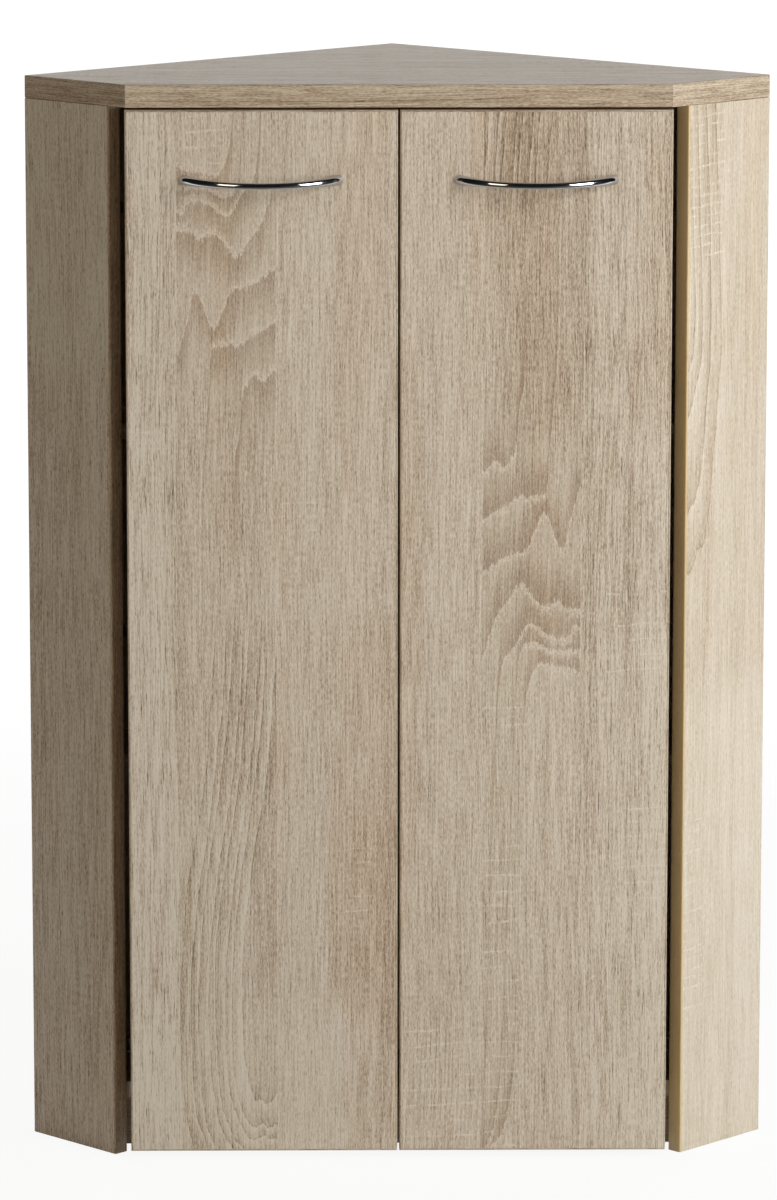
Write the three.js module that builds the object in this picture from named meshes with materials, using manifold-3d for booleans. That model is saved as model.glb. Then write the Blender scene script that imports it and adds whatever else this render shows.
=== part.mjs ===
// Corner cupboard: five-sided carcass for the corner of a room, with a pair of doors across the corner.
// Millimetres, +Z up. The doors face -Y, the corner of the room is towards +Y, and z = 0 is the floor.

import * as THREE from "three";
import { mergeVertices } from "three/addons/utils/BufferGeometryUtils.js";
import Module from "manifold-3d";

const wasm = await Module();
wasm.setup();

// Overall sizes
const wallSide = 576; // the top along each wall, from the corner of the room
const sideReturn = 160; // the top's short sides, square to the walls
const overallHeight = 1190;

// Boards, edging and the clearances between pieces
const topThickness = 25;
const boardThickness = 18;
const edgingThickness = 2;
const edgingRadius = 1.6;
const glueLine = 0.1;
const jointGap = 0.3;
const cutOverrun = 5; // how far every cutting body runs past the surface that it cuts

// Doors
const doorThickness = 18;
const doorOverhang = 1; // of the pair, past the top's front corners
const doorGap = 2.2; // between the pair
const doorTopGap = 2.5;
const doorFloorGap = 8.7;
const bufferGap = 1; // between the doors and the carcass

// Inside
const plinthHeight = 60;
const plinthSetback = 62; // from the top's front edge to the plinth's face
const bottomSetback = 21; // from the top's front edge to the bottom panel's front edge
const notchWidth = 19; // the bottom panel's front corners make room for the door edges as they turn
const notchSetback = 37;
const shelfSetback = 52;
const shelfPlay = 2; // round the loose shelves
const shelfCount = 2;

// Shelf pins and their rows of holes
const pinRadius = 2.4;
const pinShank = 9.5;
const pinHoleRadius = 2.6;
const pinHoleDepth = 11;
const pinCollarRadius = 4;
const pinCollarThickness = 1.2;
const pinNoseRadius = 3;
const pinNoseLength = 7.5;
const holePitch = 32;
const holesEachWay = 2; // spare holes above and below each shelf
const sidePinInset = 58; // from a side panel's front edge
const backPinPlace = 150; // from the corner of the room, along the wall

// Handles
const handleSpacing = 160; // between the two screws
const handleProjection = 40;
const handleReach = 36.4; // of the bow's centre line, at the middle
const handleFootSpacing = 166; // between the points where the centre line meets the door
const handleDrop = 75.5; // from the door's upper edge to the handle
const handleMidHeight = 5.4;
const handleFootHeight = 10;
const handleFootThickness = 7.4;
const handleFlareShare = 3.2; // power of the flare from the middle to the feet
const handleBuried = 8; // length of the bow behind the door's face, cut away
const handleBoreRadius = 2.2;
const handleBoreDepth = 4.6;
const screwRadius = 1.9;
const screwHoleRadius = 2.3;
const screwHeadRadius = 4.4;
const screwHeadHeight = 2.6;
const screwCrownShare = 0.7; // of the head's radius, where its rounded edge ends
const screwBite = 4; // of the screw in the handle's foot

// Concealed hinges. The cup's sizes are given from the door's outer edge and back face, and the
// arm's from the side panel's front edge and inner face.
const hingeToScrew = 1.4; // between the upper hinge's flange and the level of the handle's screws
const cupRadius = 17.5;
const cupWall = 0.8;
const cupDepth = 13.1;
const cupEdge = 5; // of door board between the cup and the door's edge
const cupNotchDepth = 1; // in the cup's rim, where the links pass over it
const cupPivot = { outer: [15, 8.3], inner: [19.4, 7.4] }; // from the door's edge, into the door
const flangeThickness = 1.2;
const flangeScrewSpacing = 45;
const flangeScrewOffset = 9.5; // from the cup's centre, away from the door's edge
const flangeScrewRadius = 6.2;
const flangeBridge = 3.6;
const flangeHeadRadius = 3.6;
const flangeHeadHeight = 1.1;
const armPivot = { outer: [21.5, 21.6], inner: [14.7, 19.2] }; // past the front edge, off the face
const pinOfHinge = 0.9;
const pinClearance = 0.22;
const openPivotClearance = 0.95; // at the inner link's cup end
const linkEye = 2.1;
const outerLinkEye = 1.8; // at its cup end
const linkOpenEye = 2.6;
const innerLinkBend = { along: 10, out: 2.2, radius: 1.7 }; // clears the cup's rim when open
const innerLinkWidth = 5.8;
const outerLinkWidth = 10.8;
const outerLinkCheek = 2;
const outerLinkBarrel = 2.3;
const cheekThickness = 1.2;
const cheekInside = 12; // between the cheeks of the arm, and of the cup
const cheekBoss = 2.3;
const armPlateAt = 37; // from the side panel's front edge to the plate's screws
const armPlateScrews = 32;
const armPlateThickness = 3;
const armPlateRadius = 7;
const armLength = 62; // from the side panel's front edge to the tail
const armCrank = { low: [-7, 9], high: [2, 16.6] }; // where the arm bends off the panel
const armCheekRadius = 3.4;
const armRivetRadius = 1.5;
const armHead = 4;
const armHeadHeight = 1.4;

// Facets
const arcSteps = 10;
const barSteps = 8;
const pinSteps = 6;
const cupSteps = 20;
const openEyeSteps = 12;
const roundSteps = 3;
const bowSteps = 24;
const bowSides = 12;

// Worked out from the sizes above
const diagonal = Math.SQRT1_2; // the walls stand at 45 degrees to the doors
const frontWidth = (wallSide - sideReturn) / diagonal;
const cornerDepth = (wallSide + sideReturn) * diagonal;
const carcassHeight = overallHeight - topThickness;
const sideDepth = sideReturn - (doorThickness + bufferGap) / diagonal;
const pairWidth = frontWidth + 2 * doorOverhang;
const doorWidth = (pairWidth - doorGap) / 2;
const doorHeight = carcassHeight - doorTopGap - doorFloorGap;
const handleLevel = doorHeight - handleDrop; // above the door's lower edge
const flangeReach = flangeScrewSpacing / 2 + flangeScrewRadius;
const hingeInset = handleDrop + screwHeadRadius + hingeToScrew + flangeReach; // from the door's ends
const bottomTop = plinthHeight + boardThickness;
const bayHeight = (carcassHeight - bottomTop - shelfCount * boardThickness) / (shelfCount + 1);
const quarter = Math.PI / 2;

// Materials
function finish(color, roughness, metalness = 0) {
  return new THREE.MeshStandardMaterial({ color, roughness, metalness });
}
const sawnOak = finish(0xb8a68f, 0.6);
const sawnOakEdge = finish(0xaa9b7e, 0.55);
const chrome = finish(0xd8dadc, 0.08, 1);
const nickel = finish(0xb9b7b0, 0.3, 1);
const zincPlate = finish(0xa9abad, 0.35, 1);

// Solids

// The solid inside a closed geometry, for cutting and joining.
function solidOf(geometry) {
  const bare = new THREE.BufferGeometry();
  bare.setAttribute("position", geometry.getAttribute("position"));
  bare.setIndex(geometry.getIndex());
  const merged = mergeVertices(bare);
  const triVerts = new Uint32Array(merged.index.array);
  const vertProperties = merged.attributes.position.array;
  return new wasm.Manifold(new wasm.Mesh({ numProp: 3, vertProperties, triVerts }));
}

function geometryOf(solid) {
  const { vertProperties, triVerts } = solid.getMesh();
  const geometry = new THREE.BufferGeometry();
  geometry.setAttribute("position", new THREE.BufferAttribute(vertProperties, 3));
  geometry.setIndex(new THREE.BufferAttribute(triVerts, 1));
  return geometry;
}

function joined(first, ...others) {
  return geometryOf(others.reduce((sum, g) => sum.add(solidOf(g)), solidOf(first)));
}

function without(body, ...cuts) {
  return geometryOf(cuts.reduce((rest, g) => rest.subtract(solidOf(g)), solidOf(body)));
}

function common(a, b) {
  return geometryOf(solidOf(a).intersect(solidOf(b)));
}

function meshOf(name, geometry, material) {
  const mesh = new THREE.Mesh(geometry, material);
  mesh.name = name;
  return mesh;
}

// A flat outline, given as [x, y] points, raised from one height to another.
function raised(outline, low, high) {
  const shape = new THREE.Shape(outline.map(([x, y]) => new THREE.Vector2(x, y)));
  const geometry = new THREE.ExtrudeGeometry(shape, { depth: high - low, bevelEnabled: false });
  return geometry.translate(0, 0, low);
}

function box(low, high) {
  const size = high.map((value, i) => value - low[i]);
  const middle = high.map((value, i) => (value + low[i]) / 2);
  return new THREE.BoxGeometry(...size).translate(...middle);
}

// A round bar along Z.
function round([x, y], radius, low, high, steps = barSteps) {
  const bar = new THREE.CylinderGeometry(radius, radius, high - low, steps);
  return bar.rotateX(quarter).translate(x, y, (low + high) / 2);
}

// The tight outline round some circles, each [x, y, radius].
function roundCircles(circles, steps = arcSteps) {
  const points = circles.flatMap(([x, y, radius]) =>
    Array.from({ length: steps }, (_, i) => {
      const angle = (i / steps) * 2 * Math.PI;
      return [x + radius * Math.cos(angle), y + radius * Math.sin(angle)];
    }),
  );
  points.sort((a, b) => a[0] - b[0] || a[1] - b[1]);
  const turn = (o, a, b) => (a[0] - o[0]) * (b[1] - o[1]) - (a[1] - o[1]) * (b[0] - o[0]);
  const half = (list) => {
    const chain = [];
    for (const p of list) {
      while (chain.length > 1 && turn(chain.at(-2), chain.at(-1), p) <= 0) chain.pop();
      chain.push(p);
    }
    return chain.slice(0, -1);
  };
  return [...half(points), ...half(points.reverse())];
}

// The section of an edging strip: x runs out of the board, y through its thickness. The two
// outer corners are rounded.
function edgingProfile(thickness) {
  const corner = (y, start) =>
    Array.from({ length: roundSteps + 1 }, (_, i) => {
      const angle = start + (i / roundSteps) * quarter;
      const x = -edgingRadius + edgingRadius * Math.cos(angle);
      return [x, y + edgingRadius * Math.sin(angle)];
    });
  const back = [
    [-edgingThickness, thickness],
    [-edgingThickness, 0],
  ];
  return [...corner(edgingRadius, -quarter), ...corner(thickness - edgingRadius, 0), ...back];
}

// How a section is set at a corner of an outline that runs anticlockwise: out along the mitre.
function mitre(before, corner, after) {
  const normal = (a, b) => new THREE.Vector2(b[1] - a[1], a[0] - b[0]).normalize();
  const first = normal(before ?? corner, before ? corner : after);
  const second = normal(after ? corner : before, after ?? corner);
  return first.clone().add(second).divideScalar(1 + first.dot(second));
}

// An edging strip along the corners of an outline, as a ring if it is closed. The ends of an open
// strip are square unless the corner beyond them is given.
function edging(corners, profile, { closed = false, before = null, after = null } = {}) {
  const count = corners.length;
  const sides = profile.length;
  const positions = corners.flatMap((corner, i) => {
    const previous = corners[i - 1] ?? (closed ? corners.at(-1) : before);
    const next = corners[i + 1] ?? (closed ? corners[0] : after);
    const out = mitre(previous, corner, next);
    return profile.flatMap(([x, y]) => [corner[0] + x * out.x, corner[1] + x * out.y, y]);
  });
  const faces = [];
  for (let i = 0; i < (closed ? count : count - 1); i++) {
    for (let j = 0; j < sides; j++) {
      const k = (j + 1) % sides;
      const here = i * sides;
      const there = ((i + 1) % count) * sides;
      faces.push(here + j, there + j, there + k, here + j, there + k, here + k);
    }
  }
  for (let j = 1; !closed && j < sides - 1; j++) {
    const last = (count - 1) * sides;
    faces.push(0, j, j + 1, last, last + j + 1, last + j);
  }
  const geometry = new THREE.BufferGeometry();
  geometry.setAttribute("position", new THREE.Float32BufferAttribute(positions, 3));
  geometry.setIndex(faces);
  return geometry;
}

// Plan. x runs to the right and y backwards from the middle of the top's front edge. A place
// beside the left wall is given by its distances along that wall from the corner, and off it.
function besideWall(along, off) {
  return [(off - along) * diagonal, cornerDepth - (along + off) * diagonal];
}

function withMirror(leftHalf) {
  const right = leftHalf.map(([x, y]) => [-x, y]).reverse();
  return [...leftHalf, ...right.filter(([x]) => x !== 0)];
}

// Anticlockwise from the corner of the room: the wall, the short side, the front, and back.
function topOutline(inset) {
  const side = wallSide - inset;
  const edge = sideReturn + inset - inset / diagonal;
  return withMirror([[0, cornerDepth], besideWall(side, 0), besideWall(side, edge)]);
}

// The plan of a board between the panels. Its front edge lies a setback behind the top's.
function innerOutline(play, setback, notched) {
  const off = boardThickness + play;
  const side = wallSide - boardThickness - play;
  const edgeAt = (depth) => (cornerDepth - depth) / diagonal - side;
  const points = [[0, besideWall(off, off)[1]], besideWall(side, off)];
  if (!notched) return withMirror([...points, besideWall(side, edgeAt(setback))]);
  const notch = notchWidth - pairWidth / 2;
  return withMirror([
    ...points,
    besideWall(side, edgeAt(notchSetback)),
    [notch, notchSetback],
    [notch, setback],
  ]);
}

// Top
function makeTop() {
  const outer = topOutline(0);
  const profile = edgingProfile(topThickness);
  const core = raised(topOutline(edgingThickness + glueLine), 0, topThickness);
  const strip = (name, i) => {
    const [a, b] = [outer[i], outer[i + 1]];
    const before = i === 1 ? null : outer[i - 1];
    const after = i === 3 ? null : outer[i + 2];
    return meshOf(name, edging([a, b], profile, { before, after }), sawnOakEdge);
  };
  const top = new THREE.Group();
  top.position.z = carcassHeight;
  top.add(
    meshOf("top_panel", core, sawnOak),
    strip("top_edging_left", 1),
    strip("top_edging_front", 2),
    strip("top_edging_right", 3),
  );
  return top;
}

// A group whose X runs along the left wall from the corner of the room, and Y off that wall.
function wallFrame() {
  const frame = new THREE.Group();
  frame.position.y = cornerDepth;
  frame.rotation.z = -Math.PI / 2 - Math.PI / 4;
  return frame;
}

// Heights of the shelf undersides, and of the pins and the holes beneath them
const shelfLevels = Array.from(
  { length: shelfCount },
  (_, i) => bottomTop + (i + 1) * bayHeight + i * boardThickness,
);
const pinLevel = (shelf) => shelf - jointGap - pinNoseRadius;
const holeLevels = shelfLevels.flatMap((shelf) =>
  Array.from({ length: 2 * holesEachWay + 1 }, (_, i) => {
    return pinLevel(shelf) + (i - holesEachWay) * holePitch;
  }),
);

// Holes for the pins, drilled along Y into a face at the given y
function pinHoles(x, face) {
  return holeLevels.map((level) => {
    const length = pinHoleDepth + cutOverrun;
    const drill = new THREE.CylinderGeometry(pinHoleRadius, pinHoleRadius, length, barSteps);
    return drill.translate(x, face - pinHoleDepth + length / 2, level);
  });
}

// Side panels, square to the walls, cut square at the front
function makeSidePanel(side) {
  const frontEdge = sideDepth - edgingThickness - glueLine;
  const pinAt = sideDepth - sidePinInset;
  const board = box([-pinAt, 0, 0], [frontEdge - pinAt, boardThickness, carcassHeight]);
  const panel = meshOf(`${side}_side_panel`, without(board, ...pinHoles(0, boardThickness)), sawnOak);
  panel.rotation.z = quarter;
  panel.position.set(wallSide, pinAt, 0);
  const profile = edgingProfile(boardThickness).map(([x, y]) => [-y, x]);
  const strip = meshOf(`${side}_side_edging`, raised(profile, 0, carcassHeight), sawnOakEdge);
  strip.position.set(wallSide, sideDepth, 0);
  return [panel, strip];
}

// Back panels on the walls. The right one butts against the left one in the corner.
function makeBackPanel(side) {
  const start = side === "left" ? 0 : boardThickness + jointGap;
  const end = wallSide - boardThickness - jointGap;
  const board = box([start, 0, 0], [end, boardThickness, carcassHeight]);
  const drilled = without(board, ...pinHoles(backPinPlace, boardThickness));
  return meshOf(`${side}_back_panel`, drilled, sawnOak);
}

// A pin for a shelf, revolved about its own axis, its shank towards -Y.
function makePin(name) {
  const profile = [
    [0, -pinShank],
    [pinRadius, -pinShank],
    [pinRadius, jointGap],
    [pinCollarRadius, jointGap],
    [pinCollarRadius, jointGap + pinCollarThickness],
    [pinNoseRadius, jointGap + pinCollarThickness],
    [pinNoseRadius, jointGap + pinNoseLength],
    [0, jointGap + pinNoseLength],
  ].map(([x, y]) => new THREE.Vector2(x, y));
  return meshOf(name, new THREE.LatheGeometry(profile, barSteps), zincPlate);
}

const shelfNames = ["lower", "upper"];

function makePins(side) {
  return shelfLevels.flatMap((shelf, i) => {
    const front = makePin(`${side}_front_pin_${shelfNames[i]}`);
    front.position.set(wallSide - boardThickness, sideDepth - sidePinInset, pinLevel(shelf));
    front.rotation.z = quarter;
    const back = makePin(`${side}_back_pin_${shelfNames[i]}`);
    back.position.set(backPinPlace, boardThickness, pinLevel(shelf));
    return [front, back];
  });
}

// Boards between the panels, each with an edging strip on its front edge
function makeInnerBoard(name, play, setback, notched) {
  const outline = innerOutline(play, setback, notched);
  const stripDepth = edgingThickness + glueLine;
  const core = innerOutline(play, setback + stripDepth, notched);
  const front = outline.filter(([, y]) => Math.abs(y - setback) < glueLine);
  const board = meshOf(name, raised(core, 0, boardThickness), sawnOak);
  const strip = edging(front, edgingProfile(boardThickness));
  return [board, meshOf(`${name}_edging`, strip, sawnOakEdge)];
}

function makeBottom() {
  const bottom = new THREE.Group();
  bottom.position.z = plinthHeight;
  bottom.add(...makeInnerBoard("bottom_panel", jointGap, bottomSetback, true));
  return bottom;
}

function makeShelf(name, level) {
  const shelf = new THREE.Group();
  shelf.position.z = level;
  shelf.add(...makeInnerBoard(name, shelfPlay, shelfSetback, false));
  return shelf;
}

function makePlinth() {
  const front = innerOutline(jointGap, plinthSetback, false).slice(2, 4);
  const back = innerOutline(jointGap, plinthSetback + boardThickness, false).slice(2, 4);
  return meshOf("plinth_rail", raised([...front, ...back.reverse()], 0, plinthHeight), sawnOak);
}

// Doors. Each is made as the left one, in the plane of its back face: x from its outer edge, y
// from its lower edge, z towards the room.
const cupCentre = cupEdge + cupRadius;
const hingeNames = ["lower", "middle", "upper"];
const hingeLevels = [hingeInset, doorHeight / 2, doorHeight - hingeInset];

function makeDoorPanel(side) {
  const inset = edgingThickness + glueLine;
  const board = box([inset, inset, 0], [doorWidth - inset, doorHeight - inset, doorThickness]);
  const cups = hingeLevels.map((level) => {
    return round([cupCentre, level], cupRadius + jointGap, -cutOverrun, cupDepth + jointGap, cupSteps);
  });
  const screws = [-1, 1].map((end) => {
    const at = [doorWidth / 2 + (end * handleSpacing) / 2, handleLevel];
    return round(at, screwHoleRadius, -cutOverrun, doorThickness + cutOverrun);
  });
  return meshOf(`${side}_door_panel`, without(board, ...cups, ...screws), sawnOak);
}

function makeDoorEdging(side) {
  const corners = [
    [0, 0],
    [doorWidth, 0],
    [doorWidth, doorHeight],
    [0, doorHeight],
  ];
  const ring = edging(corners, edgingProfile(doorThickness), { closed: true });
  return meshOf(`${side}_door_edging`, ring, sawnOakEdge);
}

// A bow handle. Its centre line is an arc that meets the door at both ends, and its section is
// an ellipse that flares towards the feet.
function makeHandle(side) {
  const halfChord = handleFootSpacing / 2;
  const radius = (halfChord ** 2 + handleReach ** 2) / (2 * handleReach);
  const halfAngle = Math.asin(halfChord / radius) + handleBuried / radius;
  const midThickness = 2 * (handleProjection - handleReach);
  const positions = [];
  for (let i = 0; i <= bowSteps; i++) {
    const share = (2 * i) / bowSteps - 1;
    const flare = Math.abs(share) ** handleFlareShare;
    const angle = share * halfAngle;
    const high = THREE.MathUtils.lerp(handleMidHeight, handleFootHeight, flare) / 2;
    const thick = THREE.MathUtils.lerp(midThickness, handleFootThickness, flare) / 2;
    for (let j = 0; j < bowSides; j++) {
      const round = (j / bowSides) * 2 * Math.PI;
      const out = radius + thick * Math.cos(round);
      const z = handleReach - radius + out * Math.cos(angle);
      positions.push(out * Math.sin(angle), high * Math.sin(round), z);
    }
  }
  const faces = [];
  for (let i = 0; i < bowSteps; i++) {
    for (let j = 0; j < bowSides; j++) {
      const k = (j + 1) % bowSides;
      const here = i * bowSides;
      const there = here + bowSides;
      faces.push(here + j, there + j, there + k, here + j, there + k, here + k);
    }
  }
  for (let j = 1; j < bowSides - 1; j++) {
    const last = bowSteps * bowSides;
    faces.push(0, j, j + 1, last, last + j + 1, last + j);
  }
  const bow = new THREE.BufferGeometry();
  bow.setAttribute("position", new THREE.Float32BufferAttribute(positions, 3));
  bow.setIndex(faces);
  const reach = halfChord + handleFootHeight + cutOverrun;
  const wood = box([-reach, -reach, -reach], [reach, reach, jointGap]);
  const bores = [-1, 1].map((end) => {
    const at = [(end * handleSpacing) / 2, 0];
    return round(at, handleBoreRadius, -cutOverrun, handleBoreDepth);
  });
  const handle = meshOf(`${side}_handle`, without(bow, wood, ...bores), chrome);
  handle.position.set(doorWidth / 2, handleLevel, doorThickness);
  return handle;
}

// Screws through the door into the handle's feet, driven from the back of the door.
function makeHandleScrews(side) {
  const tip = doorThickness + screwBite;
  const profile = [
    [0, -jointGap - screwHeadHeight],
    [screwHeadRadius * screwCrownShare, -jointGap - screwHeadHeight],
    [screwHeadRadius, -jointGap - screwHeadHeight / 2],
    [screwHeadRadius, -jointGap],
    [screwRadius, -jointGap],
    [screwRadius, tip],
    [0, tip],
  ].map(([x, y]) => new THREE.Vector2(x, y));
  return ["outer", "inner"].map((end, i) => {
    const geometry = new THREE.LatheGeometry(profile, barSteps).rotateX(quarter);
    const screw = meshOf(`${side}_handle_screw_${end}`, geometry, zincPlate);
    const x = doorWidth / 2 + ((2 * i - 1) * handleSpacing) / 2;
    screw.position.set(x, handleLevel, 0);
    return screw;
  });
}

// Concealed hinge, in the plan of the door's outer edge: x from that edge along the door, y from
// the door's back face towards the room's corner, and z = 0 at the hinge's own level.
const panelCorner = besideWall(wallSide - boardThickness, sideDepth);
const hingeCorner = [panelCorner[0] + pairWidth / 2, panelCorner[1] - doorThickness];

// From the arm's own sizes, past the panel's front edge and off its inner face, to the hinge's plan
function offPanel([ahead, off]) {
  return [hingeCorner[0] + (ahead + off) * diagonal, hingeCorner[1] + (off - ahead) * diagonal];
}

const intoDoor = ([x, depth]) => [x, -depth];
const cheekLow = cheekInside / 2;
const cheekHigh = cheekLow + cheekThickness;

// The same plate above and below the hinge's level
function cheeks(outline, low, high) {
  return [raised(outline, low, high), raised(outline, -high, -low)];
}

// The cup: a pressed bowl let into the door, with two cheeks that hold its pins, and a flange on
// the door's back face, screwed on above and below.
function makeHingeCup(name) {
  const bowlProfile = [
    [0, -cupDepth],
    [cupRadius, -cupDepth],
    [cupRadius, 0],
    [cupRadius - cupWall, 0],
    [cupRadius - cupWall, cupWall - cupDepth],
    [0, cupWall - cupDepth],
  ].map(([x, y]) => new THREE.Vector2(x, y));
  const bowl = new THREE.LatheGeometry(bowlProfile, cupSteps).translate(cupCentre, 0, 0);
  const pivots = [intoDoor(cupPivot.outer), intoDoor(cupPivot.inner)];
  const footing = cupWall / 2 - cupDepth;
  const holder = roundCircles([
    ...pivots.map(([x, y]) => [x, y, cheekBoss]),
    ...pivots.map(([x]) => [x, footing + cheekBoss, cheekBoss]),
  ]);
  const pins = pivots.map((at) => round(at, pinOfHinge, -cheekHigh, cheekHigh, pinSteps));
  const screwAt = cupCentre + flangeScrewOffset;
  const far = cupCentre + cupRadius + flangeBridge - flangeScrewRadius;
  const half = flangeScrewSpacing / 2;
  const plan = roundCircles([
    [screwAt, half, flangeScrewRadius],
    [screwAt, -half, flangeScrewRadius],
    [far, half / 2, flangeScrewRadius],
    [far, -half / 2, flangeScrewRadius],
  ]);
  const seat = jointGap;
  const mouth = (low, high) => round([cupCentre, 0], cupRadius - cupWall, low, high, cupSteps);
  const plate = raised(plan, seat, seat + flangeThickness);
  const collar = common(
    raised(plan, -cupWall, seat + flangeThickness),
    round([cupCentre, 0], cupRadius, -cupWall, seat + flangeThickness, cupSteps),
  );
  const heads = [1, -1].map((end) => {
    return round([screwAt, end * half], flangeHeadRadius, seat, seat + flangeThickness + flangeHeadHeight);
  });
  const flange = without(joined(plate, collar, ...heads), mouth(-cutOverrun, cutOverrun));
  flange.rotateX(-quarter);
  const notchHalf = outerLinkWidth / 2 + jointGap;
  const notch = box([0, -cupNotchDepth, -notchHalf], [cupEdge + cutOverrun, cutOverrun, notchHalf]);
  const bowlAndPins = joined(bowl, ...cheeks(holder, cheekLow, cheekHigh), ...pins);
  return meshOf(name, joined(without(bowlAndPins, notch), flange), nickel);
}

// The arm: a channel bent off the side panel to carry two pins, on a plate that is screwed to
// the panel.
function makeHingeArm(name) {
  const [outer, inner] = [armPivot.outer, armPivot.inner];
  const { low, high } = armCrank;
  const tail = [armCheekRadius - armLength, low[1]];
  const runs = [
    roundCircles([[...tail, armCheekRadius], [...low, armCheekRadius]], barSteps),
    roundCircles([[...low, armCheekRadius], [...high, cheekBoss]], barSteps),
    roundCircles([high, inner, outer].map((at) => [...at, cheekBoss])),
  ];
  const sides = runs.flatMap((run) => cheeks(run, cheekLow, cheekHigh));
  const top = low[1] + armCheekRadius;
  const web = box([tail[0], top - cheekThickness, -cheekHigh], [low[0], top, cheekHigh]);
  const plateTop = jointGap + armPlateThickness;
  const halfScrews = armPlateScrews / 2;
  const plan = roundCircles([
    [-armPlateAt, halfScrews, armPlateRadius],
    [-armPlateAt, -halfScrews, armPlateRadius],
  ]);
  const plate = raised(plan, jointGap, plateTop).rotateX(-quarter);
  const seat = box(
    [-armPlateAt - armPlateRadius, jointGap, -cheekLow - cheekThickness / 2],
    [-armPlateAt + 2 * armPlateRadius, top - cheekThickness / 2, cheekLow + cheekThickness / 2],
  );
  const pins = [outer, inner].map((at) => round(at, pinOfHinge, -cheekHigh, cheekHigh, pinSteps));
  const rivet = round(high, armRivetRadius, -cheekHigh, cheekHigh);
  const head = (along, level, from) => {
    const disc = new THREE.CylinderGeometry(armHead, armHead, armHeadHeight + cheekThickness, barSteps);
    return disc.translate(-along, from + (armHeadHeight - cheekThickness) / 2, level);
  };
  const heads = [
    head(armPlateAt, halfScrews, plateTop),
    head(armPlateAt, -halfScrews, plateTop),
    head(armPlateAt + armPlateRadius, 0, top),
    head(2 * armPlateRadius, 0, top),
  ];
  const arm = meshOf(name, joined(web, ...sides, seat, plate, rivet, ...pins, ...heads), nickel);
  arm.position.set(...hingeCorner, 0);
  arm.rotation.z = -Math.PI / 4;
  return arm;
}

// The outer link: two cheeks joined by a barrel round the arm's pin.
function makeOuterLink(name) {
  const [a, b] = [offPanel(armPivot.outer), intoDoor(cupPivot.outer)];
  const half = outerLinkWidth / 2;
  const bar = roundCircles([
    [...a, outerLinkBarrel],
    [...b, outerLinkEye],
  ]);
  const barrel = round(a, outerLinkBarrel, -half, half);
  const drills = [a, b].map((at) => {
    return round(at, pinOfHinge + pinClearance, -half - cutOverrun, half + cutOverrun);
  });
  const link = joined(barrel, ...cheeks(bar, half - outerLinkCheek, half));
  return meshOf(name, without(link, ...drills), zincPlate);
}

// The inner link, between the outer link's cheeks, bent to clear the cup's rim. Its cup end is the
// pivot with play.
function makeInnerLink(name) {
  const [a, b] = [offPanel(armPivot.inner), intoDoor(cupPivot.inner)];
  const half = innerLinkWidth / 2;
  const [x, y] = [b[0] - a[0], b[1] - a[1]];
  const length = Math.hypot(x, y);
  const { along, out, radius } = innerLinkBend;
  const bend = [a[0] + (x * along - y * out) / length, a[1] + (y * along + x * out) / length, radius];
  const armEnd = roundCircles([[...a, linkEye], bend]);
  const cupEnd = roundCircles([bend, [...b, linkOpenEye]]);
  const holes = [
    round(a, pinOfHinge + pinClearance, -half - cutOverrun, half + cutOverrun),
    round(b, pinOfHinge + openPivotClearance, -half - cutOverrun, half + cutOverrun, openEyeSteps),
  ];
  const link = joined(raised(armEnd, -half, half), raised(cupEnd, -half, half));
  return meshOf(name, without(link, ...holes), zincPlate);
}

function makeHinges(side) {
  return hingeNames.map((place, i) => {
    const hinge = new THREE.Group();
    hinge.position.set(-pairWidth / 2, doorThickness, doorFloorGap + hingeLevels[i]);
    const name = `${side}_${place}_hinge`;
    hinge.add(
      makeHingeCup(`${name}_cup`),
      makeHingeArm(`${name}_arm`),
      makeOuterLink(`${name}_outer_link`),
      makeInnerLink(`${name}_inner_link`),
    );
    return hinge;
  });
}

// One side of the cupboard, as it is on the left. The right side is its mirror image.
function makeSide(side) {
  const half = new THREE.Group();
  half.scale.x = side === "left" ? 1 : -1;
  const wall = wallFrame();
  wall.add(...makeSidePanel(side), makeBackPanel(side), ...makePins(side));
  const door = new THREE.Group();
  door.position.set(-pairWidth / 2, doorThickness, doorFloorGap);
  door.rotation.x = quarter;
  door.add(makeDoorPanel(side), makeDoorEdging(side), makeHandle(side), ...makeHandleScrews(side));
  half.add(wall, door, ...makeHinges(side));
  return half;
}

const cupboard = new THREE.Group();
cupboard.position.y = (handleProjection - cornerDepth) / 2;
cupboard.add(
  makeTop(),
  makeSide("left"),
  makeSide("right"),
  makeBottom(),
  makePlinth(),
  ...shelfLevels.map((level, i) => makeShelf(`${shelfNames[i]}_shelf`, level)),
);

export default cupboard;
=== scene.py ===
import bmesh
import bpy
import numpy as np
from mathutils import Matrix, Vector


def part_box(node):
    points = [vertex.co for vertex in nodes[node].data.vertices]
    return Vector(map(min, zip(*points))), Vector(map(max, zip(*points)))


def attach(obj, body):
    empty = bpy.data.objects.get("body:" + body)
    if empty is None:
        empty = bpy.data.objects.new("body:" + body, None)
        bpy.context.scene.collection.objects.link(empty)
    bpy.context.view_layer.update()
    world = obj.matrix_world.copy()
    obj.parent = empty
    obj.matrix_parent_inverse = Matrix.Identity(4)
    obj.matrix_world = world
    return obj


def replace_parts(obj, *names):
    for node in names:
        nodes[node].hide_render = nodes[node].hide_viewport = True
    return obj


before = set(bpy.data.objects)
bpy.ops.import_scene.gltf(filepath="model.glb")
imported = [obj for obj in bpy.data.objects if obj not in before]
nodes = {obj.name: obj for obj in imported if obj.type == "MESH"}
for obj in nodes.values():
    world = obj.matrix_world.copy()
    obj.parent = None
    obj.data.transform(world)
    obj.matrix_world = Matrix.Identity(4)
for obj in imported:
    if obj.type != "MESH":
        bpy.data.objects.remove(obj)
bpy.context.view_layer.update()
mm = 0.001
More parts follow.
